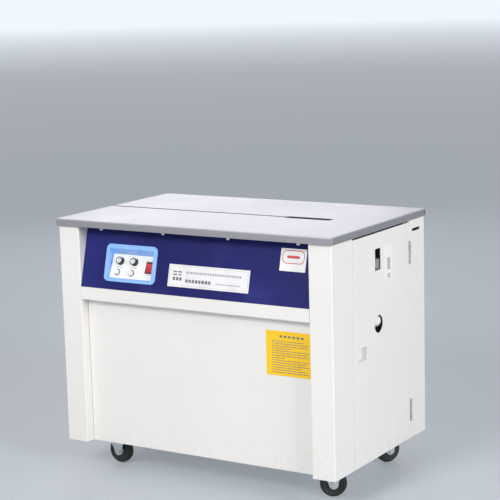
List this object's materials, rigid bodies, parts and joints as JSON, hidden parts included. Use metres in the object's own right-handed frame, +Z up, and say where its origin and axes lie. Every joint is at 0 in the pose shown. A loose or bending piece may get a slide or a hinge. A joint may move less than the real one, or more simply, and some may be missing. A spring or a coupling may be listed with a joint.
{
  "type": "semi automatic strapping machine",
  "caption": "Cabinet strapping machine with a stainless table, strap slot, sloping control panel, service door, braked castors and the strapping head and reel inside.",
  "frame": {"origin": "on the floor under the middle of the table", "axes": "+X along the table to the operator's right, +Y away from the operator, +Z up"},
  "size_m": [0.9, 0.565, 0.74],
  "materials": {
    "painted_body": "satin powder coat, fine orange peel",
    "table_steel": "satin stainless sheet",
    "panel_blue": "satin dark blue powder coat",
    "bezel_blue": "moulded light blue plastic",
    "face_white": "satin white plate",
    "black_plastic": "moulded black plastic",
    "white_plastic": "moulded white plastic",
    "red_plastic": "moulded red plastic",
    "label_white": "printed white plate",
    "label_yellow": "printed yellow film",
    "zinc_steel": "bright zinc plate",
    "dark_steel": "blackened steel",
    "cast_grey": "grey painted casting",
    "motor_grey": "painted aluminium casting",
    "wheel_rubber": "black rubber tread",
    "belt_rubber": "black rubber belt",
    "nylon_white": "turned white nylon",
    "reel_board": "moulded dark grey plastic"
  },
  "bodies": {
    "root": {"base_plate": "painted_body", "left_side_shell": "painted_body", "right_front_column": "painted_body", "right_rear_column": "painted_body", "front_lower_panel": "painted_body", "front_rail": "painted_body", "control_panel": "panel_blue", "rear_panel": "painted_body", "top_frame": "dark_steel", "table_top": "table_steel", "table_screws": "zinc_steel", "control_bezel": "bezel_blue", "control_face": "face_white", "nameplate": "label_white", "inspection_label": "label_white", "notice_label": "label_yellow", "hinge_fixed_leaves": "zinc_steel", "caster_plates": "zinc_steel", "caster_bolts": "zinc_steel", "gearbox": "cast_grey", "drive_motor": "motor_grey", "head_frame": "dark_steel", "reel_brackets": "zinc_steel", "drive_belt": "belt_rubber", "control_box": "painted_body", "power_inlet": "black_plastic", "feed_motor": "motor_grey"},
    "door": {"side_door": "painted_body", "hinge_door_leaves": "zinc_steel", "door_label": "label_white"},
    "knob_left": {"knob_left": "black_plastic"},
    "knob_right": {"knob_right": "black_plastic"},
    "button_left": {"button_left": "white_plastic"},
    "button_right": {"button_right": "white_plastic"},
    "rocker_switch": {"rocker_switch": "red_plastic"},
    "strap_reel": {"strap_reel": "reel_board"},
    "guide_arm": {"guide_arm": "zinc_steel"},
    "guide_roller": {"guide_roller": "nylon_white"},
    "tension_knob": {"tension_knob": "cast_grey"},
    "motor_pulley": {"motor_pulley": "zinc_steel"},
    "gearbox_pulley": {"gearbox_pulley": "zinc_steel"},
    "camshaft": {"camshaft": "dark_steel"},
    "right_gripper": {"right_gripper": "dark_steel"},
    "seal_press": {"seal_press": "dark_steel"},
    "left_gripper": {"left_gripper": "dark_steel"},
    "slide_plate": {"slide_plate": "dark_steel"},
    "heater_blade": {"heater_blade": "zinc_steel"},
    "feed_roller": {"feed_roller": "belt_rubber"},
    "caster_fork_front_left": {"caster_fork_front_left": "zinc_steel"},
    "caster_wheel_front_left": {"caster_wheel_front_left": "wheel_rubber"},
    "brake_pedal_front_left": {"brake_pedal_front_left": "black_plastic"},
    "caster_fork_front_right": {"caster_fork_front_right": "zinc_steel"},
    "caster_wheel_front_right": {"caster_wheel_front_right": "wheel_rubber"},
    "brake_pedal_front_right": {"brake_pedal_front_right": "black_plastic"},
    "caster_fork_rear_left": {"caster_fork_rear_left": "zinc_steel"},
    "caster_wheel_rear_left": {"caster_wheel_rear_left": "wheel_rubber"},
    "brake_pedal_rear_left": {"brake_pedal_rear_left": "black_plastic"},
    "caster_fork_rear_right": {"caster_fork_rear_right": "zinc_steel"},
    "caster_wheel_rear_right": {"caster_wheel_rear_right": "wheel_rubber"},
    "brake_pedal_rear_right": {"brake_pedal_rear_right": "black_plastic"}
  },
  "joints": [
    {"name": "door_hinge", "type": "hinge", "parent": "root", "child": "door", "pos_m": [0.446, 0.183, 0.4], "axis": [0, 0, 1], "range_deg": [0, 110]},
    {"name": "knob_left_turn", "type": "hinge", "parent": "root", "child": "knob_left", "pos_m": [-0.2525, -0.24265, 0.62304], "axis": [0, -0.9078, 0.4195], "range_deg": [-135, 135]},
    {"name": "button_left_press", "type": "slide", "parent": "root", "child": "button_left", "axis": [0, 0.9078, -0.4195], "range_m": [0, 0.003], "stiffness_N_per_m": 300},
    {"name": "knob_right_turn", "type": "hinge", "parent": "root", "child": "knob_right", "pos_m": [-0.204, -0.24265, 0.62304], "axis": [0, -0.9078, 0.4195], "range_deg": [-135, 135]},
    {"name": "button_right_press", "type": "slide", "parent": "root", "child": "button_right", "axis": [0, 0.9078, -0.4195], "range_m": [0, 0.003], "stiffness_N_per_m": 300},
    {"name": "rocker_tip", "type": "hinge", "parent": "root", "child": "rocker_switch", "pos_m": [-0.151, -0.24426, 0.61002], "axis": [-1, 0, 0], "range_deg": [0, 18]},
    {"name": "caster_swivel_front_left", "type": "hinge", "parent": "root", "child": "caster_fork_front_left", "pos_m": [-0.355, -0.168, 0.09], "axis": [0, 0, 1], "continuous": true},
    {"name": "caster_roll_front_left", "type": "hinge", "parent": "caster_fork_front_left", "child": "caster_wheel_front_left", "pos_m": [-0.333, -0.168, 0.0375], "axis": [0, 1, 0], "continuous": true},
    {"name": "brake_front_left", "type": "hinge", "parent": "caster_fork_front_left", "child": "brake_pedal_front_left", "pos_m": [-0.319, -0.168, 0.079], "axis": [0, 1, 0], "range_deg": [0, 18]},
    {"name": "caster_swivel_front_right", "type": "hinge", "parent": "root", "child": "caster_fork_front_right", "pos_m": [0.355, -0.168, 0.09], "axis": [0, 0, 1], "continuous": true},
    {"name": "caster_roll_front_right", "type": "hinge", "parent": "caster_fork_front_right", "child": "caster_wheel_front_right", "pos_m": [0.37366, -0.15634, 0.0375], "axis": [-0.5299, 0.848, 0], "continuous": true},
    {"name": "brake_front_right", "type": "hinge", "parent": "caster_fork_front_right", "child": "brake_pedal_front_right", "pos_m": [0.38553, -0.14892, 0.079], "axis": [-0.5299, 0.848, 0], "range_deg": [0, 18]},
    {"name": "caster_swivel_rear_left", "type": "hinge", "parent": "root", "child": "caster_fork_rear_left", "pos_m": [-0.355, 0.168, 0.09], "axis": [0, 0, 1], "continuous": true},
    {"name": "caster_roll_rear_left", "type": "hinge", "parent": "caster_fork_rear_left", "child": "caster_wheel_rear_left", "pos_m": [-0.3349, 0.15905, 0.0375], "axis": [0.4067, 0.9135, 0], "continuous": true},
    {"name": "brake_rear_left", "type": "hinge", "parent": "caster_fork_rear_left", "child": "brake_pedal_rear_left", "pos_m": [-0.32211, 0.15336, 0.079], "axis": [0.4067, 0.9135, 0], "range_deg": [0, 18]},
    {"name": "caster_swivel_rear_right", "type": "hinge", "parent": "root", "child": "caster_fork_rear_right", "pos_m": [0.355, 0.168, 0.09], "axis": [0, 0, 1], "continuous": true},
    {"name": "caster_roll_rear_right", "type": "hinge", "parent": "caster_fork_rear_right", "child": "caster_wheel_rear_right", "pos_m": [0.366, 0.18705, 0.0375], "axis": [-0.866, 0.5, 0], "continuous": true},
    {"name": "brake_rear_right", "type": "hinge", "parent": "caster_fork_rear_right", "child": "brake_pedal_rear_right", "pos_m": [0.373, 0.19918, 0.079], "axis": [-0.866, 0.5, 0], "range_deg": [0, 18]},
    {"name": "reel_turn", "type": "hinge", "parent": "root", "child": "strap_reel", "pos_m": [0.205, -0.008, 0.3], "axis": [0, 1, 0], "continuous": true},
    {"name": "guide_arm_swing", "type": "hinge", "parent": "root", "child": "guide_arm", "pos_m": [0.346, 0.013, 0.56], "axis": [0, 1, 0], "range_deg": [0, 23], "stiffness_Nm_per_rad": 1.5, "springref_deg": -2.86},
    {"name": "guide_roller_turn", "type": "hinge", "parent": "guide_arm", "child": "guide_roller", "pos_m": [0.42, -0.0135, 0.465], "axis": [0, 1, 0], "continuous": true},
    {"name": "tension_turn", "type": "hinge", "parent": "root", "child": "tension_knob", "pos_m": [0.4, -0.005, 0.625], "axis": [1, 0, 0], "range_deg": [-180, 180]},
    {"name": "gearbox_pulley_turn", "type": "hinge", "parent": "root", "child": "gearbox_pulley", "pos_m": [-0.011, -0.008, 0.605], "axis": [1, 0, 0], "continuous": true},
    {"name": "motor_pulley_turn", "type": "hinge", "parent": "root", "child": "motor_pulley", "pos_m": [-0.011, 0.105, 0.635], "axis": [1, 0, 0], "continuous": true},
    {"name": "camshaft_turn", "type": "hinge", "parent": "root", "child": "camshaft", "pos_m": [0.21, -0.008, 0.63], "axis": [1, 0, 0], "continuous": true},
    {"name": "left_gripper_lift", "type": "slide", "parent": "root", "child": "left_gripper", "axis": [0, 0, 1], "range_m": [0, 0.0065]},
    {"name": "seal_press_lift", "type": "slide", "parent": "root", "child": "seal_press", "axis": [0, 0, 1], "range_m": [0, 0.0065]},
    {"name": "right_gripper_lift", "type": "slide", "parent": "root", "child": "right_gripper", "axis": [0, 0, 1], "range_m": [0, 0.0065]},
    {"name": "slide_plate_draw", "type": "slide", "parent": "root", "child": "slide_plate", "axis": [0, 1, 0], "range_m": [0, 0.025]},
    {"name": "heater_feed", "type": "slide", "parent": "root", "child": "heater_blade", "axis": [0, -1, 0], "range_m": [0, 0.036]},
    {"name": "feed_turn", "type": "hinge", "parent": "root", "child": "feed_roller", "pos_m": [0.172, -0.008, 0.582], "axis": [0, 1, 0], "continuous": true}
  ],
  "couplings": [
    {"joint": "motor_pulley_turn", "follows": "gearbox_pulley_turn", "ratio": 1.7895}
  ]
}
